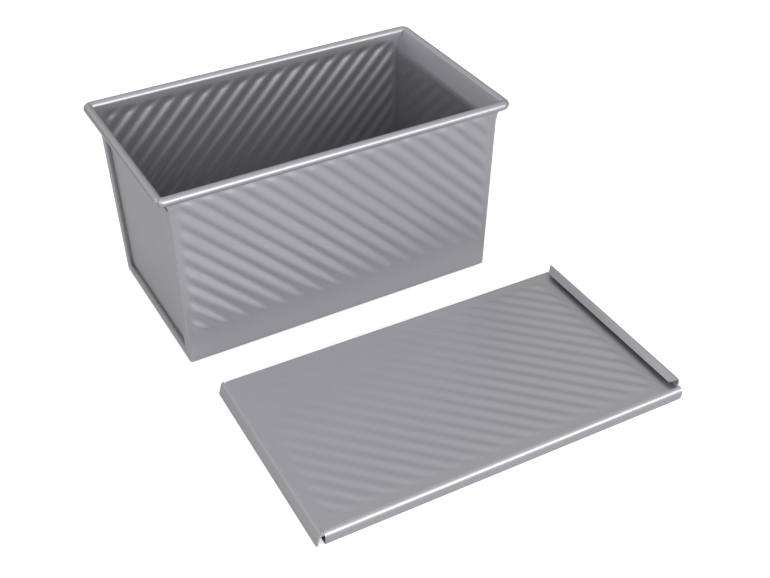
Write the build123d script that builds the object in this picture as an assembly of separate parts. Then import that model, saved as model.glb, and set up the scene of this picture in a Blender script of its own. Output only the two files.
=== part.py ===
from build123d import *
import math
import os

# A ribbed steel loaf pan with a sliding lid. The lid is off the pan and lies in front of it.
# Millimetres. +X runs along the pan, +Y towards its back wall and +Z up.
# The origin is the middle of the pan's underside.

# Pan, over its rolled rim
pan_length = 213.0
pan_width = 121.5
pan_height = 114.3

# How far the rolled rim stands out past the end seams, at their foot and at the rim's height, and past the long walls
end_overhang = 9.4
shoulder_overhang = 7.1
side_overhang = 7.9

# Sheet steel, its folds, and the play between pieces that lie against each other
sheet = 0.8
fold_radius = 1.2
play = 0.1
overrun = 10.0

# Rolled rim round a bent wire
wire_diameter = 3.0
wire_play = 0.3
wire_bend = 2.3
wire_butt_gap = 0.3
roll_open_angle = 52.0
mitre_gap = 0.3
corner_radius = 2.2

# End seams: the trough's edge is folded over the doubled edge of the end panel
strip_width = 7.2
hem_width = 5.0
seam_gap = 0.2
seam_round_share = 0.85
strip_mitre_gap = 0.3

# Flare that takes an end panel out to its rolled rim
flare_drop = 8.1
flare_radius = 12.0

# Pressed ribs
rib_pitch = 8.3
rib_width = 6.2
rib_height = 0.9
rib_end_margin = 2.5
rib_rim_margin = 4.0
rib_foot_margin = 18.0
rib_bottom_margin = 9.0
rib_shortest = 14.0
front_rib_shift = 1.0
back_rib_shift = 4.4

# Lid, and where it lies on the table
rim_play = 0.6
channel_play = 1.0
channel_bend = 2.2
channel_foot_bend = 0.8
channel_relief = 2.8
channel_reach = 0.8
channel_corner = 3.5
lip_clearance = 0.8
stop_overhang = 0.6
stop_lean = 15.0
stop_bend = 1.0
stop_stub = 1.6
stop_inset = 1.1
stop_ground_gap = 0.3
grip_rise = 5.2
grip_bend = 0.8
grip_lip = 4.9
grip_lip_angle = 45.0
lid_rib_end_margin = 7.0
lid_rib_grip_margin = 10.0
lid_rib_side_margin = 7.0
lid_rib_shift = 2.0
lid_along = 14.4
lid_spacing = 24.1
lid_turn = -0.99

# Worked out from the sizes above
foot_length = pan_length - 2 * end_overhang
foot_width = pan_width - 2 * side_overhang
shoulder_length = pan_length - 2 * shoulder_overhang
roll_inner = wire_diameter / 2 + wire_play
roll_outer = roll_inner + sheet
rim_x = pan_length / 2 - roll_outer
rim_y = pan_width / 2 - roll_outer
rim_z = pan_height - roll_outer
roll_foot = rim_z - roll_outer
wall_foot = foot_width / 2 - sheet
wall_reach = math.hypot(rim_y - wall_foot, rim_z - sheet)
wall_lean = math.atan2(rim_y - wall_foot, rim_z - sheet) - math.asin(roll_outer / wall_reach)
end_slope = (shoulder_length - foot_length) / 2 / rim_z
seam_stack = 3 * sheet + seam_gap
flare_foot = roll_foot - flare_drop
flare_across = rim_x - foot_length / 2 - flare_foot * end_slope + seam_stack
flare_reach = math.hypot(flare_across, rim_z - flare_foot)
flare_lean = math.atan2(flare_across, rim_z - flare_foot) - math.asin(roll_outer / flare_reach)
hem_top = flare_foot - flare_radius * math.tan((flare_lean - math.atan(end_slope)) / 2)
rib_radius = (rib_width ** 2 / 4 + rib_height ** 2) / (2 * rib_height)
rib_step = rib_pitch * math.sqrt(2)


def wall_inside(z):
    """Y of a long wall's inner face at a height."""
    return wall_foot + (z - sheet) * math.tan(wall_lean)


def wall_outside(z):
    """Y of a long wall's outer face at a height."""
    return wall_inside(z) + sheet / math.cos(wall_lean)


def seam_outside(z):
    """X of an end seam's outer face at a height."""
    return foot_length / 2 + z * end_slope


def panel_inside(z):
    """X of an end panel's inner face at a height below its flare."""
    return seam_outside(z) - seam_stack


def flare_outside(z):
    """X of the outer face of an end panel's flare at a height."""
    return rim_x - roll_inner / math.cos(flare_lean) - (rim_z - z) * math.tan(flare_lean)


def flare_meets(depth):
    """Height at which the flare's outer face comes out to a depth behind the seam's outer face."""
    return (foot_length / 2 - depth - flare_outside(0)) / (math.tan(flare_lean) - end_slope)


strip_top = flare_meets(sheet + play)


def outline(*points):
    """Flat face inside straight lines through the points."""
    return make_face(Polyline(*points, close=True))


def folded_sheet(points, radii, thickness):
    """Section of a folded sheet: a path along one of its faces, thickened to the path's right."""
    path = FilletPolyline(*points, radius=radii)
    return make_face(offset(path, amount=thickness, side=Side.RIGHT))


def roll_section(centre_across, start_angle):
    """Section of the rolled rim, open from the start angle on towards its lower inner side."""
    reach = 2 * roll_outer
    open_angles = [start_angle, start_angle + roll_open_angle / 2, start_angle + roll_open_angle]
    corners = [(reach * math.cos(math.radians(a)), reach * math.sin(math.radians(a))) for a in open_angles]
    ring = Circle(roll_outer) - Circle(roll_inner) - outline((0, 0), *corners)
    return Pos(centre_across, rim_z) * ring


def along_x(section, length):
    """Section in the YZ plane, drawn out both ways along X."""
    return extrude(Plane.YZ * section, amount=length, both=True)


def along_y(section, length):
    """Section in the XZ plane, drawn out both ways along Y."""
    return extrude(Plane.XZ * section, amount=length, both=True)


def corner_prisms(points):
    """Upright prisms over the height of the rim at its four corners, from points about its centre line."""
    prisms = []
    for side_x in (-1, 1):
        for side_y in (-1, 1):
            corners = [(side_x * (rim_x + u), side_y * (rim_y + v)) for u, v in points]
            prisms.append(extrude(Pos(0, 0, roll_foot) * outline(*corners), amount=overrun))
    return prisms


def pan_inside(gap, top):
    """Outline across the pan, a gap inside the trough's inner faces."""
    points = [
        (gap - wall_inside(top), top),
        (gap - wall_inside(sheet + gap), sheet + gap),
        (wall_inside(sheet + gap) - gap, sheet + gap),
        (wall_inside(top) - gap, top),
    ]
    path = FilletPolyline(*points, radius=fold_radius - gap)
    return make_face(Curve() + [path, Line(points[-1], points[0])])


def pan_outside(top):
    """Outline across the pan over the trough's outer faces."""
    points = [
        (-wall_outside(top), top),
        (-wall_outside(0), 0),
        (wall_outside(0), 0),
        (wall_outside(top), top),
    ]
    path = FilletPolyline(*points, radius=fold_radius + sheet)
    return make_face(Curve() + [path, Line(points[-1], points[0])])


def rib(length, radius, height, skirt):
    """Round-topped bar with round ends, standing on the XY plane, its skirt below it."""
    half = math.sqrt(2 * radius * height - height ** 2)
    across = make_face(Curve() + [
        Polyline((half, 0), (half, -skirt), (-half, -skirt), (-half, 0)),
        ThreePointArc((-half, 0), (0, height), (half, 0)),
    ])
    arc_share = math.sqrt(0.5)
    crest_drop = radius - math.sqrt(radius ** 2 - (half * arc_share) ** 2)
    half_across = make_face(Curve() + [
        Polyline((half, 0), (half, -skirt), (0, -skirt), (0, height)),
        ThreePointArc((0, height), (half * arc_share, height - crest_drop), (half, 0)),
    ])
    end = revolve(Plane.YZ * half_across, axis=Axis.Z, revolution_arc=180)
    ends = Pos(-length / 2, 0, 0) * end + Pos(length / 2, 0, 0) * Rot(0, 0, 180) * end
    return along_x(across, length / 2) + ends


def rib_places(length, height, shift):
    """Middles and lengths of the slanting ribs that fill a field, as if they all rise to the right."""
    places = []
    count = math.ceil((length + height) / 2 / rib_step)
    for number in range(-count, count + 1):
        crossing = number * rib_step + shift
        start = max(-length / 2, crossing - height / 2)
        stop = min(length / 2, crossing + height / 2)
        run = (stop - start) * math.sqrt(2)
        if run > rib_shortest:
            middle = (start + stop) / 2
            places.append((middle, middle - crossing, run - rib_width))
    return places


def press_ribs(solid, face, length, height, shift, rising):
    """Press a field of ribs out of a sheet whose outer face lies in a plane."""
    turn = 45 if rising else -45
    sign = 1 if rising else -1
    ridges = []
    grooves = []
    for across, up, run in rib_places(length, height, shift):
        place = face.location * Pos(across, sign * up, 0) * Rot(0, 0, turn)
        ridges.append(place * rib(run, rib_radius, rib_height, sheet / 2))
        grooves.append(place * Pos(0, 0, -sheet) * rib(run, rib_radius - sheet, rib_height, sheet))
    return (solid + ridges) - grooves


def seam_frame():
    """Strips of the trough folded over the end panel: the right end, cut to their slant."""
    window_foot = wall_outside(strip_width) - strip_width
    window = outline(
        (-window_foot, strip_width),
        (window_foot, strip_width),
        (wall_outside(pan_height) - strip_width, pan_height),
        (strip_width - wall_outside(pan_height), pan_height),
    )
    flat = pan_outside(strip_top) - window
    for side in (-1, 1):
        middle = (side * (window_foot + strip_width / 2), strip_width / 2)
        flat -= Pos(*middle) * Rot(0, 0, -side * 45) * Rectangle(2 * strip_width, strip_mitre_gap)
    slab = outline(
        (seam_outside(-overrun) - sheet, -overrun),
        (seam_outside(-overrun), -overrun),
        (seam_outside(pan_height), pan_height),
        (seam_outside(pan_height) - sheet, pan_height),
    )
    return along_x(flat, pan_length) & along_y(slab, pan_width)


def seam_edges(body):
    """Outer edges where the walls and the bottom turn into the seam strips."""
    found = []
    for edge in body.edges():
        middle = edge @ 0.5
        reach = abs(abs(middle.X) - seam_outside(middle.Z))
        height = min(middle.Z, abs(abs(middle.Y) - wall_outside(middle.Z)))
        if reach < play and height < play and middle.Z < strip_top:
            found.append(edge)
    return found


def trough():
    """Front wall, bottom and back wall: one folded sheet, rolled at the rim and seamed at the ends."""
    tangent = 180 - math.degrees(wall_lean)
    top = rim_z + roll_outer * math.sin(wall_lean)
    top_across = rim_y - roll_outer * math.cos(wall_lean)
    walls = folded_sheet(
        [(-top_across, top), (-wall_foot, sheet), (wall_foot, sheet), (top_across, top)],
        fold_radius,
        sheet,
    )
    roll = roll_section(rim_y, tangent)
    body = along_x(walls + roll + mirror(roll, about=Plane.YZ), pan_length / 2)

    seam_end = flare_meets(0)
    end_trim = outline(
        (seam_outside(-overrun), -overrun),
        (seam_outside(seam_end), seam_end),
        (flare_outside(roll_foot), roll_foot),
        (pan_length, roll_foot),
        (pan_length, -overrun),
    )
    trim = along_y(end_trim, pan_width)
    body -= [trim, mirror(trim, about=Plane.YZ)]

    end = seam_frame()
    body += [end, mirror(end, about=Plane.YZ)]
    body = fillet(seam_edges(body), seam_round_share * sheet)

    far = roll_outer + overrun
    body -= corner_prisms([
        (-roll_outer - mitre_gap, -far),
        (-roll_outer - mitre_gap, -roll_outer),
        (far, far + mitre_gap),
        (far, -far),
    ])
    return body


def finish_trough(body):
    """Round the trough's rim corners and press its three fields of ribs."""
    body &= extrude(RectangleRounded(pan_length, pan_width, corner_radius), amount=pan_height)
    field_top = roll_foot - rib_rim_margin
    middle = (field_top + rib_foot_margin) / 2
    field_length = foot_length - 2 * rib_end_margin
    field_height = (field_top - rib_foot_margin) / math.cos(wall_lean)
    for side, shift in ((-1, front_rib_shift), (1, back_rib_shift)):
        face = Plane(
            origin=(0, side * wall_outside(middle), middle),
            x_dir=(1, 0, 0),
            z_dir=(0, side * math.cos(wall_lean), -math.sin(wall_lean)),
        )
        body = press_ribs(body, face, field_length, field_height, shift, False)
    bottom = Plane(origin=(0, 0, sheet), x_dir=(1, 0, 0), z_dir=(0, 0, 1))
    bottom_length = foot_length - 2 * rib_bottom_margin
    bottom_width = foot_width - 2 * rib_bottom_margin
    return press_ribs(body, bottom, bottom_length, bottom_width, rib_step / 2, True)


def end_panel():
    """Right end panel: a plate with a doubled edge, flared out at the top and rolled over the wire."""
    foot = sheet + play
    plate = folded_sheet(
        [
            (panel_inside(foot), foot),
            (panel_inside(flare_foot), flare_foot),
            (rim_x - roll_outer * math.cos(flare_lean), rim_z + roll_outer * math.sin(flare_lean)),
        ],
        flare_radius,
        sheet,
    )
    roll = roll_section(rim_x, 180 - math.degrees(flare_lean))
    body = along_y(plate + roll, pan_width / 2)

    above = Pos(0, roll_foot + overrun / 2) * Rectangle(2 * pan_width, overrun)
    body &= along_x(pan_inside(play, roll_foot) + above, pan_length)

    window_foot = wall_inside(strip_width) - hem_width
    window = outline(
        (-window_foot, hem_width + sheet),
        (window_foot, hem_width + sheet),
        (wall_inside(pan_height) - hem_width, pan_height),
        (hem_width - wall_inside(pan_height), pan_height),
    )
    hem_slab = outline(
        (panel_inside(0) + sheet / 2, 0),
        (panel_inside(0) + 2 * sheet, 0),
        (panel_inside(hem_top) + 2 * sheet, hem_top),
        (panel_inside(hem_top) + sheet / 2, hem_top),
    )
    hem = along_x(pan_inside(play, hem_top) - window, pan_length) & along_y(hem_slab, pan_width)
    body += hem

    far = roll_outer + overrun
    body -= corner_prisms([
        (-far, -roll_outer - mitre_gap),
        (-roll_outer, -roll_outer - mitre_gap),
        (far + mitre_gap, far),
        (-far, far),
    ])
    return body & extrude(RectangleRounded(pan_length, pan_width, corner_radius), amount=pan_height)


def rim_wire():
    """One wire bent to the rim's rectangle inside the rolls, its ends butted behind the back wall."""
    ring = RectangleRounded(2 * rim_x, 2 * rim_y, wire_bend)
    path = Pos(0, 0, rim_z) * ring.wire()
    start = path @ 0
    section = Plane(origin=start, z_dir=path % 0) * Circle(wire_diameter / 2)
    wire = sweep(section, path=path)
    return wire - Pos(0, rim_y, rim_z) * Box(wire_butt_gap, 2 * wire_diameter, 2 * wire_diameter)


# Lid sizes that follow the pan's rim
lid_length = pan_length + sheet + stop_overhang
lid_inside = pan_width / 2 + rim_play
lid_half = lid_inside + sheet
lid_height = 2 * roll_outer + channel_play + 2 * sheet
lid_under = lid_height - sheet
lip_edge = wall_outside(roll_foot) + lip_clearance
flat_half = lid_inside - channel_bend
stop_drop = lid_height - stop_ground_gap


def channel_section():
    """Section across the lid: the panel with a channel folded under each long edge."""
    return folded_sheet(
        [
            (lip_edge, sheet),
            (lid_inside, sheet),
            (lid_inside, lid_under),
            (-lid_inside, lid_under),
            (-lid_inside, sheet),
            (-lip_edge, sheet),
        ],
        [channel_foot_bend, channel_bend, channel_bend, channel_foot_bend],
        sheet,
    )


def lid():
    """One sheet: panel, two channels, a stop turned down at the left and a grip turned up at the right."""
    left = -lid_length / 2
    right = lid_length / 2
    start = left + channel_relief
    grip_inside = right - sheet
    panel_stop = grip_inside - grip_bend - sheet

    section = channel_section()
    body = Pos(start, 0, 0) * extrude(Plane.YZ * section, amount=panel_stop - start)
    middle = Pos(0, lid_height / 2) * Rectangle(2 * flat_half, 2 * lid_height)
    ends = Pos(panel_stop, 0, 0) * extrude(
        Plane.YZ * (section - middle),
        amount=right + channel_reach - panel_stop,
    )
    corner = Pos(right + channel_reach - channel_corner, channel_corner)
    cut = Pos(right + channel_reach, 0) * Rectangle(2 * channel_corner, 2 * channel_corner)
    body += ends
    body -= along_y(cut - corner * Circle(channel_corner), 2 * lid_half)

    lean = math.radians(stop_lean)
    stop_under = [
        (left - stop_drop * math.tan(lean) + sheet, stop_ground_gap),
        (left + sheet, lid_under),
        (start, lid_under),
    ]
    neck = along_y(folded_sheet(stop_under[::-1], stop_bend, sheet), lid_half - stop_inset)
    relief = Pos(left + stop_stub, 0) * Rectangle(
        channel_relief, lid_height, align=(Align.MIN, Align.CENTER)
    )
    relief_block = along_y(Pos(0, lid_height) * relief, 2 * lid_half)
    relief_block -= Box(2 * lid_length, 2 * flat_half, 4 * lid_height)
    body += neck - relief_block

    slant = math.radians(grip_lip_angle)
    grip_round = grip_bend * (1 / math.tan(slant / 2) - 1)
    grip_top = lid_height + grip_rise - sheet + grip_round
    grip = along_y(
        folded_sheet(
            [
                (panel_stop, lid_height),
                (grip_inside, lid_height),
                (grip_inside, grip_top),
                (grip_inside - grip_lip * math.sin(slant), grip_top - grip_lip * math.cos(slant)),
            ],
            grip_bend,
            sheet,
        ),
        flat_half,
    )
    for side in (-1, 1):
        clip = outline(
            (grip_inside - sheet, side * flat_half),
            (grip_inside - sheet - overrun, side * (flat_half - overrun)),
            (grip_inside - sheet - overrun, side * (flat_half + overrun)),
            (grip_inside - sheet, side * (flat_half + overrun)),
        )
        grip -= extrude(Pos(0, 0, lid_height + sheet) * clip, amount=overrun)
    body += grip

    field_left = left + lid_rib_end_margin
    field_right = right - lid_rib_grip_margin
    face = Plane(origin=((field_left + field_right) / 2, 0, lid_height), x_dir=(1, 0, 0), z_dir=(0, 0, 1))
    field_width = 2 * (lid_half - lid_rib_side_margin)
    body = press_ribs(body, face, field_right - field_left, field_width, lid_rib_shift, False)
    across = -(pan_width / 2 + lid_spacing + lid_half)
    return Pos(lid_along, across, 0) * Rot(0, 0, lid_turn) * body


os.makedirs("parts", exist_ok=True)
right_panel = end_panel()
pieces = {
    "trough": finish_trough(trough()),
    "end_panel_left": mirror(right_panel, about=Plane.YZ),
    "end_panel_right": right_panel,
    "rim_wire": rim_wire(),
    "lid": lid(),
}
for name, piece in pieces.items():
    export_step(piece, f"parts/{name}.step")
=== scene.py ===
"""A ribbed steel loaf pan with a sliding lid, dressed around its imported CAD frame.

Laid out as a Blender add-on and run as a script. Lengths are in metres.
+X runs along the pan, +Y towards its back wall and +Z up. The origin is the middle of its underside.
"""

import math

import bmesh
import bpy
from bpy.props import FloatProperty, FloatVectorProperty, PointerProperty
from mathutils import Matrix, Vector


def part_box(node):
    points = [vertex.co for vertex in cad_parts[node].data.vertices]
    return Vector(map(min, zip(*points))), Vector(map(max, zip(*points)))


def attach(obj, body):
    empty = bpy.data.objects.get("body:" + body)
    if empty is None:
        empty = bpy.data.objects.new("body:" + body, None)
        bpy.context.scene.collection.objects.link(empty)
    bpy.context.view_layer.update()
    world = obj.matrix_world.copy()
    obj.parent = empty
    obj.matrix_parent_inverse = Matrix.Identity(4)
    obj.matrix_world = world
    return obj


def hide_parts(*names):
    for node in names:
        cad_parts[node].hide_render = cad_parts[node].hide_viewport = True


bl_info = {
    "name": "Ribbed loaf pan",
    "version": (1, 0, 0),
    "blender": (4, 5, 0),
    "location": "3D View > Sidebar > Loaf Pan",
    "description": "Builds a ribbed loaf pan with a wired rim and a sliding lid, piece by piece",
    "category": "Add Mesh",
}

MM = 0.001

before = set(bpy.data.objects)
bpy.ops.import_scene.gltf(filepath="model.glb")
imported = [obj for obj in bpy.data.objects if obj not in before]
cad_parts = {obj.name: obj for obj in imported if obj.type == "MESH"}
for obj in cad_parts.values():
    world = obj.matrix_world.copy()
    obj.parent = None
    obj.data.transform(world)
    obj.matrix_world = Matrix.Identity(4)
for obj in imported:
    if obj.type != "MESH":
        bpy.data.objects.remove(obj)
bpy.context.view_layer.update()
panel_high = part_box("end_panel_right")[1]
trough_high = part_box("trough")[1]

# Camera, solved from the pan's corners in the 770 by 578 photograph
IMAGE_WIDTH = 770
CAMERA_FOCAL_PIXELS = 1175.49
CAMERA_PLACE = Vector((-0.24485, -0.5455, 0.42833))
CAMERA_AZIMUTH = math.radians(-28.908)
CAMERA_ELEVATION = math.radians(36.866)
CAMERA_ROLL = math.radians(-0.489)
SENSOR_WIDTH = 36.0

# How finely the sheets are cut up, and how closely two places have to agree
TINY = 0.02 * MM
WALL_ROWS = 6
RIB_STEP = 1.1 * MM
ROUNDING_STEPS = 6
ROLL_STEPS = 40
ROLL_TURN = math.radians(308)
CORNER_STEPS = 6
CORNER_STEP = 1.0 * MM
SHARP_FOLD = math.radians(60)
SMOOTH_ANGLE = math.radians(40)

# Share of the channels' bend that is rounded, so that its foot stays clear of the flat
BEND_SHARE = 0.99


def length(name, description, default):
    """A length property shown in the scene's units."""
    return FloatProperty(name=name, description=description, default=default, subtype="DISTANCE", precision=5)


def colour(name, description, code):
    """A colour property, its default given as an sRGB hex value."""
    return FloatVectorProperty(name=name, description=description, default=linear(code), size=4, subtype="COLOR")


def linear(code):
    """Linear colour of an sRGB hex value, with full alpha."""
    parts = [int(code[i : i + 2], 16) / 255 for i in (1, 3, 5)]
    return [c / 12.92 if c <= 0.04045 else ((c + 0.055) / 1.055) ** 2.4 for c in parts] + [1.0]


class LoafPanSizes(bpy.types.PropertyGroup):
    """The pan's outer sizes, its folds and its ribs."""

    pan_length: length("Pan length", "Length over the rolled rim", 2 * panel_high.x)
    pan_width: length("Pan width", "Width over the rolled rim", 2 * trough_high.y)
    pan_height: length("Pan height", "Height to the top of the rim", trough_high.z)
    foot_length: length("Foot length", "Length over the end seams at the bottom", 194.2 * MM)
    foot_width: length("Foot width", "Width over the long walls at the bottom", 105.7 * MM)
    shoulder_length: length("Shoulder length", "Length over the end seams at the rim's height", 198.8 * MM)
    sheet: length("Sheet", "Thickness of the steel sheet", 0.8 * MM)
    play: length("Play", "Gap between sheets that lie against each other", 0.1 * MM)
    fold_radius: length("Fold radius", "Inner radius of the folds along the bottom", 1.2 * MM)
    seam_fold: length("Seam fold", "Inner radius of the folds along the end seams", 0.2 * MM)
    strip_width: length("Strip width", "Width of the strips folded over the end panels", 7.2 * MM)
    seam_gap: length("Seam gap", "Gap inside the folded end seams", 0.2 * MM)
    mitre_gap: length("Mitre gap", "Gap where two rolls or strips meet at a corner", 0.3 * MM)
    hem_width: length("Hem width", "Width of an end panel's doubled edge", 5.0 * MM)
    flare_drop: length("Flare drop", "Height of the end panel's flare under the roll", 8.1 * MM)
    flare_radius: length("Flare radius", "Radius of the bend at the flare's foot", 12.0 * MM)
    wire_diameter: length("Wire diameter", "Diameter of the wire inside the rim", 3.0 * MM)
    wire_play: length("Wire play", "Gap between the wire and the roll", 0.3 * MM)
    corner_radius: length("Corner radius", "Outer radius of the rim round its corners", 5.6 * MM)
    rib_pitch: length("Rib pitch", "Distance from rib to rib, square to them", 8.3 * MM)
    rib_height: length("Rib height", "How far a rib stands out of its sheet", 0.8 * MM)
    rib_end_margin: length("Rib end margin", "From the fold at the end of a wall to its ribs", 0.2 * MM)
    rib_top_margin: length("Rib top margin", "From the roll down to a wall's ribs", 0.3 * MM)
    rib_foot_margin: length("Rib foot margin", "Height at which a wall's ribs begin", 15.0 * MM)
    rib_floor_margin: length("Rib floor margin", "From the edges of the bottom to its ribs", 9.0 * MM)
    rib_end_fade: length("Rib end fade", "Length over which a rib runs out at its upper and side ends", 5.0 * MM)
    rib_foot_fade: length("Rib foot fade", "Height over which a wall's rib runs out at its foot", 9.0 * MM)
    front_rib_start: length("Front rib start", "Where the front wall's first rib crosses the foot", 3.9 * MM)
    back_rib_start: length("Back rib start", "Where the back wall's first rib crosses the foot", 1.5 * MM)
    panel_rib_height: length("Panel rib height", "How far the end panels' ribs stand in", 0.35 * MM)
    panel_rib_start: length("Panel rib start", "Where a rib crosses the end panels' foot", 2.5 * MM)


class LoafLidSizes(bpy.types.PropertyGroup):
    """The lid's folds, its ribs and its place on the table."""

    rim_play: length("Rim play", "Gap between the rim and the lid's sides", 0.6 * MM)
    channel_play: length("Channel play", "Height left over the rim inside the channels", 1.0 * MM)
    channel_bend: length("Channel bend", "Inner radius of the channels' upper bend", 2.2 * MM)
    channel_foot_bend: length("Channel foot bend", "Inner radius of the channels' lower bend", 0.8 * MM)
    channel_relief: length("Channel relief", "From the lid's left edge to the channels", 2.8 * MM)
    channel_reach: length("Channel reach", "How far the channels run past the grip", 0.8 * MM)
    channel_corner: length("Channel corner", "Radius of the channels' lower right corner", 3.0 * MM)
    lip_clearance: length("Lip clearance", "From the pan's wall to the lip under the rim", 0.8 * MM)
    stop_overhang: length("Stop overhang", "Gap between the left rim and the stop", 0.6 * MM)
    stop_bend: length("Stop bend", "Inner radius of the stop's bend", 1.0 * MM)
    stop_stub: length("Stop stub", "Depth of the stop's corner tabs", 1.6 * MM)
    stop_inset: length("Stop inset", "From the lid's side to the end of the stop", 1.1 * MM)
    stop_ground_gap: length("Stop ground gap", "Height of the stop's lower edge", 0.3 * MM)
    stop_lean: FloatProperty(
        name="Stop lean", description="Outward lean of the stop", default=math.radians(15), subtype="ANGLE"
    )
    grip_rise: length("Grip rise", "Height of the grip over the lid", 5.2 * MM)
    grip_bend: length("Grip bend", "Inner radius of the grip's bends", 0.8 * MM)
    grip_lip: length("Grip lip", "Length of the grip's folded lip", 4.9 * MM)
    grip_slant: FloatProperty(
        name="Grip slant", description="Slant of the grip's folded lip", default=math.radians(45), subtype="ANGLE"
    )
    rib_height: length("Rib height", "How far a rib stands out of the lid", 0.5 * MM)
    rib_end_margin: length("Rib end margin", "From the lid's left edge to its ribs", 7.0 * MM)
    rib_grip_margin: length("Rib grip margin", "From the lid's right edge to its ribs", 10.0 * MM)
    rib_side_margin: length("Rib side margin", "From the lid's sides to its ribs", 7.0 * MM)
    rib_fade: length("Rib fade", "Length over which a rib runs out at its ends", 5.0 * MM)
    rib_start: length("Rib start", "Where a rib crosses the lid's middle line", 2.0 * MM)
    along: length("Along", "Where the lid's middle lies along the pan", 14.4 * MM)
    spacing: length("Spacing", "Gap between the pan's rim and the lid", 24.1 * MM)
    turn: FloatProperty(
        name="Turn", description="Turn of the lid on the table", default=math.radians(-0.99), subtype="ANGLE"
    )


class LoafPanFinish(bpy.types.PropertyGroup):
    """Colours of the pan's finishes and the sizes of their grain."""

    coat_colour: colour("Coat colour", "The baked coat on the sheet steel", "#9F9EA2")
    flake_colour: colour("Flake colour", "The metal flakes that show through the coat", "#A9A8AC")
    flake_size: length("Flake size", "Size of a group of metal flakes", 0.7 * MM)
    ripple_size: length("Ripple size", "Size of the soft ripples in the sprayed coat", 1.6 * MM)
    cloud_size: length("Cloud size", "Size of the patches where the coat is duller", 28.0 * MM)
    wire_colour: colour("Wire colour", "The drawn steel wire in the rim", "#9A9A9A")
    drawing_width: length("Drawing width", "Width of the wire's drawing lines", 0.12 * MM)
    floor_colour: colour("Floor colour", "The white paper floor as the metal mirrors it", "#D0D0D0")
    seen_floor_colour: colour("Seen floor colour", "The white paper floor as the camera sees it", "#E4E4E4")


class LoafPanStage(bpy.types.PropertyGroup):
    """Floor, lamp and surroundings of the pan."""

    floor_size: length("Floor size", "Side of the square floor", 1.8)
    floor_drop: length("Floor drop", "Gap that keeps the floor clear of the resting faces", 0.05 * MM)
    floor_lift: FloatProperty(name="Floor lift", description="Light that whitens the seen floor", default=0.4)
    key_power: FloatProperty(name="Key power", description="Power of the low front lamp", default=18.8, unit="POWER")
    key_width: length("Key width", "Width of the low front lamp", 2.0)
    key_height: length("Key height", "Height of the low front lamp", 0.8)
    key_place: FloatVectorProperty(
        name="Key place", description="Middle of the low front lamp", default=(0.1, -1.4, 0.5), subtype="TRANSLATION"
    )
    sky: FloatProperty(name="Sky", description="Brightness of the surroundings overhead", default=1.02)
    sky_foot: FloatProperty(name="Sky foot", description="Sine of the height at which the sky is dark", default=-0.1)
    sky_top: FloatProperty(name="Sky top", description="Sine of the height from which the sky is bright", default=0.33)
    sky_slope: FloatVectorProperty(
        name="Sky slope", description="Brightness added towards +X, +Y and +Z", default=(-0.32, -0.25, 0.0)
    )


class Pan:
    """Places on the pan, worked out from its sizes."""

    def __init__(self, sizes):
        self.sheet = sizes.sheet
        self.roll_inner = sizes.wire_diameter / 2 + sizes.wire_play
        self.roll_outer = self.roll_inner + sizes.sheet
        self.rim_x = sizes.pan_length / 2 - self.roll_outer
        self.rim_y = sizes.pan_width / 2 - self.roll_outer
        self.rim_z = sizes.pan_height - self.roll_outer
        self.roll_foot = self.rim_z - self.roll_outer
        self.wall_foot = sizes.foot_width / 2 - sizes.sheet
        across, up = self.rim_y - self.wall_foot, self.rim_z - sizes.sheet
        self.lean = math.atan2(across, up) - math.asin(self.roll_outer / math.hypot(across, up))
        self.corner_x = sizes.pan_length / 2 - sizes.corner_radius
        self.corner_y = sizes.pan_width / 2 - sizes.corner_radius
        self.corner_turn = math.pi / 4 - math.asin(sizes.mitre_gap / 2 / sizes.corner_radius)
        self.seam_foot = sizes.foot_length / 2
        self.seam_slope = (sizes.shoulder_length - sizes.foot_length) / 2 / self.rim_z
        self.seam_stack = 3 * sizes.sheet + sizes.seam_gap
        self.flare_foot = self.roll_foot - sizes.flare_drop
        across, up = self.rim_x - self.panel(self.flare_foot), self.rim_z - self.flare_foot
        self.flare = math.atan2(across, up) - math.asin(self.roll_outer / math.hypot(across, up))
        self.flare_turn = self.flare - math.atan(self.seam_slope)
        self.hem_top = self.flare_foot - sizes.flare_radius * math.tan(self.flare_turn / 2)
        self.strip_top = self.flare_meets(sizes.sheet + sizes.play)

    def wall(self, z):
        """Y of a long wall's inner face at a height."""
        return self.wall_foot + (z - self.sheet) * math.tan(self.lean)

    def seam(self, z):
        """X of an end seam's outer face at a height."""
        return self.seam_foot + z * self.seam_slope

    def panel(self, z):
        """X of an end panel's inner face at a height below its flare."""
        return self.seam(z) - self.seam_stack

    def round_corner(self, past, out):
        """Reach of a rolled rim along and out from a corner's centre, some way past the corner's start."""
        turn = self.corner_turn * past / (CORNER_STEPS * CORNER_STEP)
        return out * math.sin(turn), out * math.cos(turn)

    def flare_outside(self, z):
        """X of the outer face of an end panel's flare at a height."""
        return self.rim_x - self.roll_inner / math.cos(self.flare) - (self.rim_z - z) * math.tan(self.flare)

    def flare_meets(self, depth):
        """Height at which the flare's outer face comes out to a depth behind the seam's outer face."""
        return (self.seam(0) - depth - self.flare_outside(0)) / (math.tan(self.flare) - self.seam_slope)


def add_plane(name, low, high):
    """Adds a flat sheet between two corners and opens it in edit mode with nothing selected."""
    bpy.ops.object.select_all(action="DESELECT")
    middle = [(a + b) / 2 for a, b in zip(low, high)]
    bpy.ops.mesh.primitive_plane_add(size=1, location=middle)
    bpy.context.object.name = name
    bpy.context.object.scale = (high[0] - low[0], high[1] - low[1], 1)
    bpy.ops.object.transform_apply(location=True, rotation=True, scale=True)
    bpy.ops.object.mode_set(mode="EDIT")
    bpy.ops.mesh.select_all(action="DESELECT")
    return bpy.context.object


def edited():
    """The mesh that is open in edit mode."""
    return bmesh.from_edit_mesh(bpy.context.edit_object.data)


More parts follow.
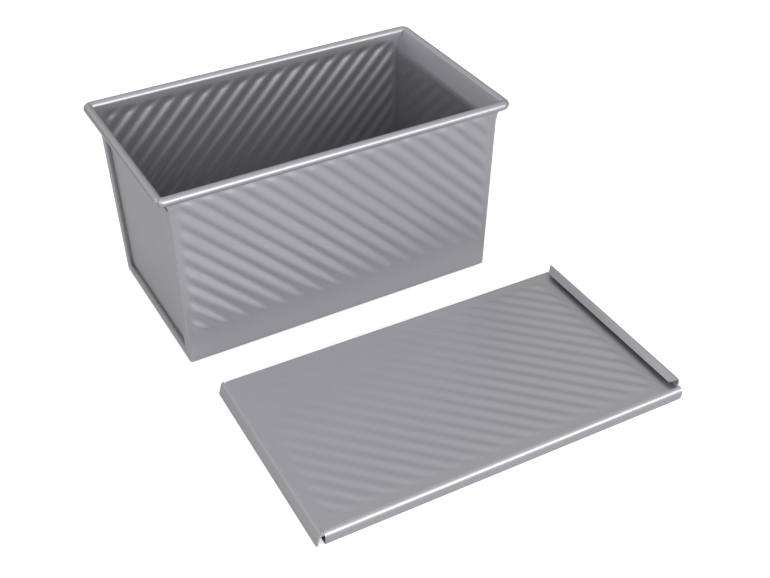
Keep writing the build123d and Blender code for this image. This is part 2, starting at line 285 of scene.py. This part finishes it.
def pick(kind, test):
    """Selects every shown vertex, edge or face all of whose corners pass a test."""
    bpy.ops.mesh.select_mode(type=kind)
    bpy.ops.mesh.select_all(action="DESELECT")
    mesh = edited()
    found = {"VERT": mesh.verts, "EDGE": mesh.edges, "FACE": mesh.faces}[kind]
    for element in found:
        corners = [element] if kind == "VERT" else element.verts
        if not element.hide and all(test(corner.co) for corner in corners):
            element.select_set(True)
    mesh.select_flush_mode()
    bmesh.update_edit_mesh(bpy.context.edit_object.data)


def place_vertices(rule, selected=False):
    """Moves vertices to where a rule puts them: all of them, or the selected ones."""
    mesh = edited()
    for vertex in mesh.verts:
        if vertex.select or not selected:
            vertex.co = rule(vertex.co.copy())
    bmesh.update_edit_mesh(bpy.context.edit_object.data)


def extrude_edges(move):
    """Extrudes the selected edges by a move."""
    bpy.ops.mesh.extrude_edges_move(TRANSFORM_OT_translate={"value": move})


def near(value, target):
    """True if two lengths are the same to a hair."""
    return abs(value - target) < TINY


def round_fold(radius, turn):
    """Rounds the selected folds to an inner radius, from how far they turn."""
    bpy.ops.mesh.bevel(offset=radius * math.tan(turn / 2), segments=ROUNDING_STEPS, affect="EDGES")


def apply_modifier(obj, kind, **settings):
    """Adds a modifier with its settings and applies it, out of edit mode."""
    bpy.ops.object.mode_set(mode="OBJECT")
    modifier = obj.modifiers.new(kind.lower(), kind)
    for name, value in settings.items():
        setattr(modifier, name, value)
    bpy.ops.object.modifier_apply(modifier=modifier.name)
    bpy.ops.object.mode_set(mode="EDIT")
    bpy.ops.mesh.select_all(action="DESELECT")


def face_along(direction, test):
    """Makes the sheet's normals agree, and turns them so that the faces that pass a test look along a direction."""
    bpy.ops.mesh.select_all(action="SELECT")
    bpy.ops.mesh.remove_doubles(threshold=TINY / 4)
    bpy.ops.mesh.normals_make_consistent(inside=False)
    mesh = edited()
    facing = sum(f.normal.dot(direction) * f.calc_area() for f in mesh.faces if test(f.calc_center_median()))
    if facing < 0:
        bpy.ops.mesh.flip_normals()


def press_ribs(place, low, high, pitch, start, rising, lift, fades):
    """Cuts a flat field of the sheet along its slanting ribs and presses them out.

    place is the field's origin and its right and up; low and high are its corners there. start is where a rib
    crosses up's zero line. The ribs rise to the right or fall, lift is how far they are moved, and fades are the
    lengths over which they run out at the sides, at the foot and at the top.
    """
    origin, right, up = place
    slope = 1 if rising else -1
    across = (right - slope * up).normalized()
    normal = right.cross(up)

    def inside(co):
        u, v, w = ((co - origin).dot(axis) for axis in (right, up, normal))
        return abs(w) < TINY and low[0] - TINY < u < high[0] + TINY and low[1] - TINY < v < high[1] + TINY

    def cut(point, direction):
        bpy.ops.mesh.select_all(action="SELECT")
        bpy.ops.mesh.bisect(plane_co=point, plane_no=direction)

    pick("FACE", lambda co: abs((co - origin).dot(normal)) < TINY)
    bpy.ops.mesh.hide(unselected=True)
    for corner in (low, high):
        cut(origin + right * corner[0], right)
        cut(origin + up * corner[1], up)
    pick("FACE", inside)
    bpy.ops.mesh.hide(unselected=True)
    for axis, first, last in ((right, low[0], high[0]), (up, low[1], high[1])):
        steps = math.ceil((last - first) / RIB_STEP)
        for number in range(1, steps):
            cut(origin + axis * (first + (last - first) * number / steps), axis)

    def pressed(co):
        if not inside(co):
            return co
        u, v = (co - origin).dot(right), (co - origin).dot(up)
        share = math.cos(((co - origin).dot(across) - start / math.sqrt(2)) / pitch * math.pi) ** 2
        side, foot, top = fades
        for run, fade in ((min(u - low[0], high[0] - u), side), (v - low[1], foot), (high[1] - v, top)):
            share *= math.sin(min(1, max(0, run / fade)) * math.pi / 2) ** 2
        return co + lift * share

    place_vertices(pressed)
    bpy.ops.mesh.reveal(select=False)


def extend_roll(direction, test):
    """Adds the columns that take a rolled rim round its corner, past the edges that pass a test."""
    pick("EDGE", test)
    for _ in range(CORNER_STEPS):
        extrude_edges(direction * CORNER_STEP)


def finish_piece(piece):
    """Closes edit mode and shades a piece smooth across its rounded folds."""
    bpy.ops.mesh.select_all(action="DESELECT")
    bpy.ops.mesh.select_mode(type="VERT")
    bpy.ops.object.mode_set(mode="OBJECT")
    bpy.ops.object.shade_smooth_by_angle(angle=SMOOTH_ANGLE)
    return piece


def open_mitre(gap, inside, height):
    """Draws the two split corners of the strips' mitre apart."""
    mesh = edited()
    for vertex in mesh.verts:
        if near(vertex.co.y, inside) and near(vertex.co.z, height):
            middle = sum((f.calc_center_median() for f in vertex.link_faces), Vector()) / len(vertex.link_faces)
            side = 1 if middle.z + middle.y > inside + height else -1
            vertex.co += side * gap / 2 * Vector((0, 1, 1)).normalized()
    bmesh.update_edit_mesh(bpy.context.edit_object.data)


def fold_trough(pan, sizes):
    """Front wall, bottom and back wall: one ribbed sheet, rolled at the rim and folded over the end panels.

    The sheet's inner face is modelled for one quarter, mirrored, ribbed, and then given its thickness.
    """
    end = pan.seam(0) - pan.sheet
    neck = end - 2 * sizes.seam_fold
    top = pan.rim_z + pan.roll_outer * math.sin(pan.lean)
    seam_top = pan.strip_top + sizes.play
    skin = add_plane("ribbed_trough", (0, 0, pan.sheet), (neck, pan.wall_foot, pan.sheet))
    rib_foot = sizes.rib_foot_margin
    rib_top = pan.roll_foot - sizes.rib_top_margin
    rows = [rib_foot + (pan.strip_top - rib_foot) * step / WALL_ROWS for step in range(WALL_ROWS + 1)]
    height = pan.sheet
    for next_height in (*rows, seam_top, pan.flare_meets(0), rib_top, pan.roll_foot, top):
        pick("EDGE", lambda co: near(co.z, height) and near(co.y, pan.wall(height)))
        extrude_edges((0, pan.wall(next_height) - pan.wall(height), next_height - height))
        height = next_height
    pick("EDGE", lambda co: near(co.z, pan.sheet) and near(co.y, pan.wall_foot))
    round_fold(sizes.fold_radius, math.pi / 2 - pan.lean)

    strip_inside = pan.wall(sizes.strip_width) + pan.sheet - sizes.strip_width

    def strip_edge(co):
        if co.z > pan.strip_top - TINY:
            return Vector((co.x, pan.wall(co.z) + pan.sheet - sizes.strip_width, co.z))
        return Vector((co.x, 0 if co.y < TINY else strip_inside, sizes.strip_width))

    pick("EDGE", lambda co: near(co.x, neck) and co.z < pan.strip_top + TINY)
    extrude_edges((end - neck, 0, 0))
    extrude_edges((0, 0, 0))
    place_vertices(strip_edge, selected=True)
    pick("EDGE", lambda co: near(co.x, end) and near(co.y - strip_inside, sizes.strip_width - co.z))
    bpy.ops.mesh.edge_split(type="EDGE")
    open_mitre(sizes.mitre_gap, strip_inside, sizes.strip_width)
    bpy.ops.mesh.select_all(action="DESELECT")
    bpy.ops.mesh.select_mode(type="EDGE")
    bpy.ops.mesh.edges_select_sharp(sharpness=SHARP_FOLD)
    round_fold(sizes.seam_fold, math.pi / 2)

    pick("EDGE", lambda co: near(co.z, top))
    bpy.ops.mesh.spin(steps=ROLL_STEPS, angle=ROLL_TURN, center=(0, pan.rim_y, pan.rim_z), axis=(1, 0, 0))
    pick("EDGE", lambda co: near(co.x, neck) and co.z > seam_top - TINY)
    extrude_edges((end - neck, 0, 0))

    def in_roll(across, z):
        return z > pan.rim_z or across > pan.rim_y - pan.roll_inner + TINY

    extend_roll(Vector((1, 0, 0)), lambda co: near(co.x, end) and in_roll(co.y, co.z))
    apply_modifier(skin, "MIRROR", use_axis=(True, True, False), merge_threshold=TINY)
    face_along(Vector((0, 0, 1)), lambda co: near(co.z, pan.sheet))

    field_end = neck - sizes.rib_end_margin
    fades = sizes.rib_end_fade, sizes.rib_foot_fade, sizes.rib_end_fade
    for side, start in ((-1, sizes.front_rib_start), (1, sizes.back_rib_start)):
        up = Vector((0, side * math.sin(pan.lean), math.cos(pan.lean)))
        out = Vector((0, side * math.cos(pan.lean), -math.sin(pan.lean)))
        place = Vector((0, side * pan.wall(0), 0)), Vector((1, 0, 0)), up
        low = (-field_end, rib_foot / math.cos(pan.lean))
        high = (field_end, rib_top / math.cos(pan.lean))
        lift = out * sizes.rib_height
        press_ribs(place, low, high, sizes.rib_pitch, start, side > 0, lift, fades)
    high = (end - sizes.rib_floor_margin, pan.wall_foot - sizes.rib_floor_margin)
    place = Vector((0, 0, pan.sheet)), Vector((1, 0, 0)), Vector((0, 1, 0))
    lift = Vector((0, 0, sizes.rib_height))
    start = sizes.rib_pitch / math.sqrt(2)
    fades = (sizes.rib_end_fade,) * 3
    press_ribs(place, (-high[0], -high[1]), high, sizes.rib_pitch, start, True, lift, fades)
    apply_modifier(skin, "SOLIDIFY", thickness=pan.sheet, offset=-1, use_even_offset=True)

    def trim(co):
        reach, across = abs(co.x), abs(co.y)
        if reach < neck + TINY:
            return co
        if in_roll(across, co.z):
            along, out = pan.round_corner(reach - end, across - pan.corner_y)
            reach, across = pan.corner_x + along, pan.corner_y + out
        elif co.z > pan.roll_foot - 2 * TINY:
            reach = pan.corner_x
        elif co.z > seam_top - 2 * TINY:
            reach = max(pan.seam(co.z), pan.flare_outside(co.z))
        else:
            reach += co.z * pan.seam_slope
        return Vector((math.copysign(reach, co.x), math.copysign(across, co.y), co.z))

    place_vertices(trim)
    return finish_piece(skin)


def double_edge(pan, sizes):
    """Folds the end panel's foot and sides back behind it, where the trough's strips hold them."""
    outside = pan.sheet / math.cos(math.atan(pan.seam_slope))

    def is_outside(co):
        return near(co.x, pan.panel(co.z) + outside)

    def squared(co):
        z = max(co.z, pan.sheet + sizes.play + sizes.hem_width)
        y = min(abs(co.y), pan.wall(z) - sizes.play - sizes.hem_width)
        return Vector((pan.panel(z) + outside, math.copysign(y, co.y), z))

    pick("FACE", is_outside)
    bpy.ops.mesh.inset(thickness=sizes.hem_width)
    place_vertices(squared, selected=True)
    bpy.ops.mesh.remove_doubles(threshold=TINY)
    pick("FACE", is_outside)
    mesh = edited()
    for face in mesh.faces:
        middle = face.calc_center_median()
        at_side = abs(middle.y) > pan.wall(middle.z) - sizes.hem_width
        at_foot = middle.z < pan.sheet + sizes.hem_width
        if face.select and not (at_side or at_foot):
            face.select_set(False)
    bmesh.update_edit_mesh(bpy.context.edit_object.data)
    bpy.ops.mesh.extrude_region_move(TRANSFORM_OT_translate={"value": (pan.sheet, 0, 0)})


def fold_end_panel(pan, sizes):
    """Right end panel: a sheet with doubled edges, flared out at the top and rolled over the wire."""
    foot = pan.sheet + sizes.play
    side = pan.wall(pan.flare_foot) - sizes.play
    skin = add_plane("right_end_panel", (0, 0, 0), (1, 1, 0))

    def upright(co):
        z = foot if near(co.x, 0) else pan.flare_foot
        return Vector((pan.panel(z), (pan.wall(z) - sizes.play) * co.y, z))

    place_vertices(upright)
    top = pan.rim_z + pan.roll_outer * math.sin(pan.flare)
    heights = (pan.roll_foot, top)
    for height, next_height in zip((pan.flare_foot, *heights), heights):
        pick("EDGE", lambda co: near(co.z, height))
        extrude_edges(((next_height - height) * math.tan(pan.flare), 0, next_height - height))
    pick("EDGE", lambda co: near(co.z, pan.flare_foot))
    round_fold(sizes.flare_radius, pan.flare_turn)
    pick("VERT", lambda co: near(co.z, foot) and co.y > TINY)
    bpy.ops.mesh.bevel(offset=sizes.fold_radius - sizes.play, segments=ROUNDING_STEPS, affect="VERTICES")

    pick("EDGE", lambda co: near(co.z, top))
    bpy.ops.mesh.spin(steps=ROLL_STEPS, angle=ROLL_TURN, center=(pan.rim_x, 0, pan.rim_z), axis=(0, -1, 0))

    def in_roll(co):
        return co.z > pan.rim_z or co.z > pan.roll_foot - TINY and co.x > pan.flare_outside(co.z) + 2 * TINY

    extend_roll(Vector((0, 1, 0)), lambda co: near(co.y, side) and in_roll(co))
    apply_modifier(skin, "MIRROR", use_axis=(False, True, False), merge_threshold=TINY)
    face_along(Vector((-1, 0, 0)), lambda co: co.z < pan.flare_foot)
    apply_modifier(skin, "SOLIDIFY", thickness=pan.sheet, offset=-1, use_even_offset=True)
    double_edge(pan, sizes)

    slope = math.atan(pan.seam_slope)
    place = Vector((pan.panel(0), 0, 0)), Vector((0, 1, 0)), Vector((math.sin(slope), 0, math.cos(slope)))
    field_end = pan.wall(sizes.rib_foot_margin) - sizes.hem_width / 2
    low = (-field_end, sizes.rib_foot_margin)
    high = (field_end, pan.hem_top - sizes.rib_top_margin)
    lift = Vector((-sizes.panel_rib_height, 0, 0))
    fades = sizes.rib_end_fade, sizes.rib_foot_fade, sizes.rib_end_fade
    press_ribs(place, low, high, sizes.rib_pitch, sizes.panel_rib_start, False, lift, fades)

    def trim(co):
        x, across = co.x, abs(co.y)
        if across < side - TINY or co.z < pan.flare_foot:
            return co
        if in_roll(co):
            along, out = pan.round_corner(across - side, x - pan.corner_x)
            x, across = pan.corner_x + out, pan.corner_y + along
        else:
            across = pan.wall(co.z) - sizes.play
        return Vector((x, math.copysign(across, co.y), co.z))

    place_vertices(trim)
    return finish_piece(skin)


def mirror_end_panel(right):
    """Left end panel: the right one's mirror image."""
    bpy.ops.object.select_all(action="DESELECT")
    right.select_set(True)
    bpy.ops.object.duplicate()
    panel = bpy.context.object
    panel.name = "left_end_panel"
    bpy.ops.object.mode_set(mode="EDIT")
    place_vertices(lambda co: Vector((-co.x, co.y, co.z)))
    bpy.ops.mesh.select_all(action="SELECT")
    bpy.ops.mesh.flip_normals()
    return finish_piece(panel)


def fold_lid(pan, sizes, lid):
    """The lid: a ribbed sheet with two channels, a stop turned down at the left and a grip turned up."""
    sheet = pan.sheet
    right = (sizes.pan_length + sheet + lid.stop_overhang) / 2
    left = -right
    side = sizes.pan_width / 2 + lid.rim_play + sheet
    flat = side - sheet - lid.channel_bend
    top = 2 * pan.roll_outer + lid.channel_play + 2 * sheet
    lip_edge = pan.wall(pan.roll_foot) + sheet + lid.lip_clearance
    start = left + lid.channel_relief
    grip_face = right - sheet
    panel_stop = grip_face - lid.grip_bend - sheet
    stop_edge = left + sheet * (1 + math.tan(lid.stop_lean) - 1 / math.cos(lid.stop_lean))
    stop_drop = top - lid.stop_ground_gap

    skin = add_plane("ribbed_lid", (start, 0, top), (panel_stop, flat, top))
    pick("EDGE", lambda co: near(co.x, start))
    extrude_edges((stop_edge - start, 0, 0))
    extrude_edges((-stop_drop * math.tan(lid.stop_lean), 0, -stop_drop))
    pick("EDGE", lambda co: near(co.x, stop_edge))
    round_fold(lid.stop_bend + sheet, math.pi / 2 - lid.stop_lean)
    pick("EDGE", lambda co: near(co.y, flat) and co.x < left + lid.stop_stub)
    extrude_edges((0, side - lid.stop_inset - flat, 0))

    pick("EDGE", lambda co: near(co.y, flat) and co.x > start - TINY)
    corner = lid.channel_corner
    for move in ((side - flat + TINY, 0), (0, corner - top), (0, -corner / 2), (0, -corner / 2), (lip_edge - side, 0)):
        extrude_edges((0, *move))
    place_vertices(lambda co: co if co.y < side + TINY / 2 else Vector((co.x, side, co.z)))
    pick("EDGE", lambda co: near(co.z, top) and near(co.y, side))
    round_fold((lid.channel_bend + sheet) * BEND_SHARE, math.pi / 2)
    pick("EDGE", lambda co: near(co.z, 0) and near(co.y, side))
    round_fold(lid.channel_foot_bend + sheet, math.pi / 2)
    pick("EDGE", lambda co: near(co.x, panel_stop) and co.y > flat - TINY)
    extrude_edges((right + lid.channel_reach - corner - panel_stop, 0, 0))
    for _ in range(ROUNDING_STEPS):
        extrude_edges((corner / ROUNDING_STEPS, 0, 0))

    slant = lid.grip_slant
    grip_top = top + lid.grip_rise - sheet + lid.grip_bend * (1 / math.tan(slant / 2) - 1)
    pick("EDGE", lambda co: near(co.x, panel_stop) and co.y < flat + TINY)
    extrude_edges((grip_face - panel_stop, 0, 0))
    extrude_edges((0, 0, grip_top - top))
    extrude_edges((-lid.grip_lip * math.sin(slant), 0, -lid.grip_lip * math.cos(slant)))
    pick("EDGE", lambda co: near(co.x, grip_face) and near(co.z, top))
    round_fold(lid.grip_bend, math.pi / 2)
    pick("EDGE", lambda co: near(co.x, grip_face) and near(co.z, grip_top))
    round_fold(lid.grip_bend, math.pi - slant)

    apply_modifier(skin, "MIRROR", use_axis=(False, True, False), merge_threshold=TINY)
    face_along(Vector((0, 0, 1)), lambda co: near(co.z, top))
    low = Vector((left + lid.rib_end_margin, lid.rib_side_margin - side))
    high = Vector((right - lid.rib_grip_margin, side - lid.rib_side_margin))
    place = Vector((0, 0, top)), Vector((1, 0, 0)), Vector((0, 1, 0))
    lift = Vector((0, 0, lid.rib_height))
    fades = (lid.rib_fade,) * 3
    press_ribs(place, low, high, sizes.rib_pitch, lid.rib_start, False, lift, fades)
    apply_modifier(skin, "SOLIDIFY", thickness=sheet, offset=-1, use_even_offset=True)

    corner_x = right + lid.channel_reach - corner

    def trim(co):
        x, y, z = co
        if z > top + sheet and x > panel_stop - lid.grip_lip:
            limit = flat - max(0, grip_face - sheet - x)
            y = math.copysign(min(abs(y), limit), y)
        elif abs(y) > flat and x > corner_x and z < corner:
            share = (x - corner_x) / corner
            into = corner - z
            reach = corner_x + math.sqrt(max(0, corner**2 - into**2))
            x = corner_x + share * (reach - corner_x)
        return Vector((x, y, z))

    place_vertices(trim)
    bpy.ops.mesh.select_all(action="SELECT")
    bpy.ops.mesh.remove_doubles(threshold=TINY / 4)
    across = -(sizes.pan_width / 2 + lid.spacing + side)
    turn = Matrix.Translation((lid.along, across, 0)) @ Matrix.Rotation(lid.turn, 4, "Z")
    place_vertices(lambda co: turn @ co)
    return finish_piece(skin)


def add_node(tree, kind, settings=None, inputs=None):
    """Adds a node, sets its settings, and sets or links its inputs."""
    node = tree.nodes.new(kind)
    for name, value in (settings or {}).items():
        setattr(node, name, value)
    for name, value in (inputs or {}).items():
        if isinstance(value, bpy.types.NodeSocket):
            tree.links.new(value, node.inputs[name])
        else:
            node.inputs[name].default_value = value
    return node


def new_material(name):
    """An empty node material and its node tree."""
    material = bpy.data.materials.new(name)
    material.use_nodes = True
    material.node_tree.nodes.clear()
    return material, material.node_tree


def release_coated_steel(finish):
    """Sheet steel with a sprayed and baked grey release coat.

    Metal flakes in the coat give a satin, half-metallic grey with a fine sparkle. The spray leaves soft ripples,
    and patches where the coat is a little duller.
    """
    material, tree = new_material("release_coated_sheet_steel")
    place = add_node(tree, "ShaderNodeTexCoord").outputs["Object"]
    flakes = add_node(tree, "ShaderNodeTexNoise", inputs={
        "Vector": place,
        "Scale": 1 / finish.flake_size,
        "Detail": 2.0,
        "Roughness": 0.7,
    })
    clouds = add_node(tree, "ShaderNodeTexNoise", inputs={
        "Vector": place,
        "Scale": 1 / finish.cloud_size,
        "Detail": 3.0,
    })
    ripples = add_node(tree, "ShaderNodeTexNoise", inputs={
        "Vector": place,
        "Scale": 1 / finish.ripple_size,
        "Detail": 1.0,
    })
    tone = add_node(tree, "ShaderNodeMix", {"data_type": "RGBA"}, {
        "Factor": flakes.outputs["Fac"],
        "A": finish.coat_colour,
        "B": finish.flake_colour,
    })
    dullness = add_node(tree, "ShaderNodeMapRange", inputs={
        "Value": clouds.outputs["Fac"],
        "From Min": 0.3,
        "From Max": 0.7,
        "To Min": 0.36,
        "To Max": 0.41,
    })
    bump = add_node(tree, "ShaderNodeBump", inputs={
        "Height": ripples.outputs["Fac"],
        "Strength": 0.35,
        "Distance": 0.02 * MM,
    })
    shader = add_node(tree, "ShaderNodeBsdfPrincipled", inputs={
        "Base Color": tone.outputs["Result"],
        "Metallic": 0.8,
        "Roughness": dullness.outputs["Result"],
        "Normal": bump.outputs["Normal"],
    })
    add_node(tree, "ShaderNodeOutputMaterial", inputs={"Surface": shader.outputs[0]})
    return material


def drawn_steel(finish):
    """Steel wire pulled through a die, which leaves it bright with fine lines along its length."""
    material, tree = new_material("drawn_steel_wire")
    place = add_node(tree, "ShaderNodeTexCoord").outputs["Object"]
    lines = add_node(tree, "ShaderNodeTexNoise", inputs={
        "Vector": place,
        "Scale": 1 / finish.drawing_width,
        "Detail": 1.0,
    })
    dullness = add_node(tree, "ShaderNodeMapRange", inputs={
        "Value": lines.outputs["Fac"],
        "To Min": 0.25,
        "To Max": 0.45,
    })
    bump = add_node(tree, "ShaderNodeBump", inputs={
        "Height": lines.outputs["Fac"],
        "Strength": 0.3,
        "Distance": 0.01 * MM,
    })
    shader = add_node(tree, "ShaderNodeBsdfPrincipled", inputs={
        "Base Color": finish.wire_colour,
        "Metallic": 1.0,
        "Roughness": dullness.outputs["Result"],
        "Normal": bump.outputs["Normal"],
    })
    add_node(tree, "ShaderNodeOutputMaterial", inputs={"Surface": shader.outputs[0]})
    return material


def white_paper(finish, lift):
    """Matt white paper on the table, plain in the metal's mirror.

    It is lifted to white where the camera sees it, and keeps the object's shadow.
    """
    material, tree = new_material("white_paper_floor")
    rays = add_node(tree, "ShaderNodeLightPath")
    paper = add_node(tree, "ShaderNodeBsdfDiffuse", inputs={"Color": finish.floor_colour})
    seen = add_node(tree, "ShaderNodeBsdfDiffuse", inputs={"Color": finish.seen_floor_colour})
    glow = add_node(tree, "ShaderNodeEmission", inputs={"Color": linear("#FFFFFF"), "Strength": lift})
    lifted = add_node(tree, "ShaderNodeAddShader", inputs={0: seen.outputs[0], 1: glow.outputs[0]})
    mixed = add_node(tree, "ShaderNodeMixShader", inputs={
        "Fac": rays.outputs["Is Camera Ray"],
        1: paper.outputs[0],
        2: lifted.outputs[0],
    })
    add_node(tree, "ShaderNodeOutputMaterial", inputs={"Surface": mixed.outputs[0]})
    return material


def white_surroundings(sizes):
    """Soft light from overhead, brighter to the left and the front, dark low down, plain white for the camera."""
    world = bpy.data.worlds.new("white_surroundings")
    world.use_nodes = True
    tree = world.node_tree
    tree.nodes.clear()
    way = add_node(tree, "ShaderNodeTexCoord").outputs["Generated"]
    slope = add_node(tree, "ShaderNodeVectorMath", {"operation": "DOT_PRODUCT"}, {0: way, 1: sizes.sky_slope})
    parts = add_node(tree, "ShaderNodeSeparateXYZ", inputs={"Vector": way})
    rise = add_node(tree, "ShaderNodeMapRange", {"interpolation_type": "SMOOTHSTEP"}, {
        "Value": parts.outputs["Z"],
        "From Min": sizes.sky_foot,
        "From Max": sizes.sky_top,
        "To Min": 0.0,
        "To Max": sizes.sky,
    })
    level = add_node(tree, "ShaderNodeMath", {"operation": "ADD"}, {0: slope.outputs["Value"], 1: rise.outputs[0]})
    lit = add_node(tree, "ShaderNodeMath", {"operation": "MAXIMUM"}, {0: level.outputs[0], 1: 0.0})
    rays = add_node(tree, "ShaderNodeLightPath")
    light = add_node(tree, "ShaderNodeBackground", inputs={"Color": linear("#FFFFFF"), "Strength": lit.outputs[0]})
    white = add_node(tree, "ShaderNodeBackground", inputs={"Color": linear("#FFFFFF"), "Strength": 1.0})
    shown = add_node(tree, "ShaderNodeMixShader", inputs={
        "Fac": rays.outputs["Is Camera Ray"],
        1: light.outputs[0],
        2: white.outputs[0],
    })
    add_node(tree, "ShaderNodeOutputWorld", inputs={"Surface": shown.outputs[0]})
    return world


def dress(piece, body, *nodes):
    """Coats a folded piece, hangs it on the body it rides on, and hides the CAD nodes it stands for."""
    finish = bpy.context.scene.loaf_finish
    coat = bpy.data.materials.get("release_coated_sheet_steel") or release_coated_steel(finish)
    piece.data.materials.append(coat)
    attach(piece, body)
    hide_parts(*nodes)


class LOAFPAN_OT_trough(bpy.types.Operator):
    """Folds the front wall, the bottom and the back wall out of one ribbed sheet"""

    bl_idname = "loafpan.trough"
    bl_label = "Trough"

    def execute(self, context):
        sizes = context.scene.loaf_pan
        dress(fold_trough(Pan(sizes), sizes), "pan", "trough")
        return {"FINISHED"}


class LOAFPAN_OT_end_panels(bpy.types.Operator):
    """Folds the two end panels that close the trough"""

    bl_idname = "loafpan.end_panels"
    bl_label = "End panels"

    def execute(self, context):
        sizes = context.scene.loaf_pan
        right = fold_end_panel(Pan(sizes), sizes)
        left = mirror_end_panel(right)
        dress(right, "pan", "end_panel_right")
        dress(left, "pan", "end_panel_left")
        return {"FINISHED"}


class LOAFPAN_OT_rim_wire(bpy.types.Operator):
    """Gives the wire inside the rolled rim its drawn finish"""

    bl_idname = "loafpan.rim_wire"
    bl_label = "Rim wire"

    def execute(self, context):
        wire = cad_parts["rim_wire"]
        wire.data.materials.clear()
        wire.data.materials.append(drawn_steel(context.scene.loaf_finish))
        return {"FINISHED"}


class LOAFPAN_OT_lid(bpy.types.Operator):
    """Folds the ribbed lid that slides over the rim, and lays it in front of the pan"""

    bl_idname = "loafpan.lid"
    bl_label = "Lid"

    def execute(self, context):
        sizes = context.scene.loaf_pan
        dress(fold_lid(Pan(sizes), sizes, context.scene.loaf_lid), "lid", "lid")
        return {"FINISHED"}


class LOAFPAN_OT_stage(bpy.types.Operator):
    """Adds the floor, the lamp, the white surroundings and the camera"""

    bl_idname = "loafpan.stage"
    bl_label = "Stage"

    def execute(self, context):
        sizes = context.scene.loaf_stage
        bpy.ops.object.select_all(action="DESELECT")
        bpy.ops.mesh.primitive_plane_add(size=sizes.floor_size, location=(0, 0, -sizes.floor_drop))
        floor = context.object
        floor.name = "floor"
        bpy.ops.object.transform_apply(location=True, rotation=True, scale=True)
        floor.data.materials.append(white_paper(context.scene.loaf_finish, sizes.floor_lift))

        bpy.ops.object.light_add(type="AREA", location=sizes.key_place)
        key = context.object
        key.name = "key_lamp"
        key.data.energy = sizes.key_power
        key.data.shape = "RECTANGLE"
        key.data.size = sizes.key_width
        key.data.size_y = sizes.key_height
        key.rotation_euler = (-key.location).to_track_quat("-Z", "Y").to_euler()
        context.scene.world = white_surroundings(sizes)

        bpy.ops.object.camera_add()
        camera = context.object
        camera.name = "camera"
        camera.data.sensor_fit = "HORIZONTAL"
        camera.data.sensor_width = SENSOR_WIDTH
        camera.data.lens = CAMERA_FOCAL_PIXELS / IMAGE_WIDTH * SENSOR_WIDTH
        camera.matrix_world = (
            Matrix.Translation(CAMERA_PLACE)
            @ Matrix.Rotation(CAMERA_AZIMUTH, 4, "Z")
            @ Matrix.Rotation(math.pi / 2 - CAMERA_ELEVATION, 4, "X")
            @ Matrix.Rotation(CAMERA_ROLL, 4, "Z")
        )
        context.scene.camera = camera
        context.scene.view_settings.view_transform = "Standard"
        return {"FINISHED"}


PIECES = (LOAFPAN_OT_trough, LOAFPAN_OT_end_panels, LOAFPAN_OT_rim_wire, LOAFPAN_OT_lid, LOAFPAN_OT_stage)
SETTINGS = {
    "loaf_pan": LoafPanSizes,
    "loaf_lid": LoafLidSizes,
    "loaf_finish": LoafPanFinish,
    "loaf_stage": LoafPanStage,
}


class LOAFPAN_PT_sidebar(bpy.types.Panel):
    """Lists the pieces in the order in which they are built"""

    bl_idname = "LOAFPAN_PT_sidebar"
    bl_label = "Ribbed loaf pan"
    bl_space_type = "VIEW_3D"
    bl_region_type = "UI"
    bl_category = "Loaf Pan"

    def draw(self, context):
        for piece in PIECES:
            self.layout.operator(piece.bl_idname)
        for name, group in SETTINGS.items():
            box = self.layout.box()
            for setting in group.__annotations__:
                box.prop(getattr(context.scene, name), setting)


def register():
    for cls in (*SETTINGS.values(), *PIECES, LOAFPAN_PT_sidebar):
        bpy.utils.register_class(cls)
    for name, group in SETTINGS.items():
        setattr(bpy.types.Scene, name, PointerProperty(type=group))


def unregister():
    for name in SETTINGS:
        delattr(bpy.types.Scene, name)
    for cls in (LOAFPAN_PT_sidebar, *reversed(PIECES), *reversed(SETTINGS.values())):
        bpy.utils.unregister_class(cls)


def main():
    """Registers the add-on and builds every piece in order."""
    register()
    bpy.ops.loafpan.trough()
    bpy.ops.loafpan.end_panels()
    bpy.ops.loafpan.rim_wire()
    bpy.ops.loafpan.lid()
    bpy.ops.loafpan.stage()


if __name__ == "__main__":
    main()
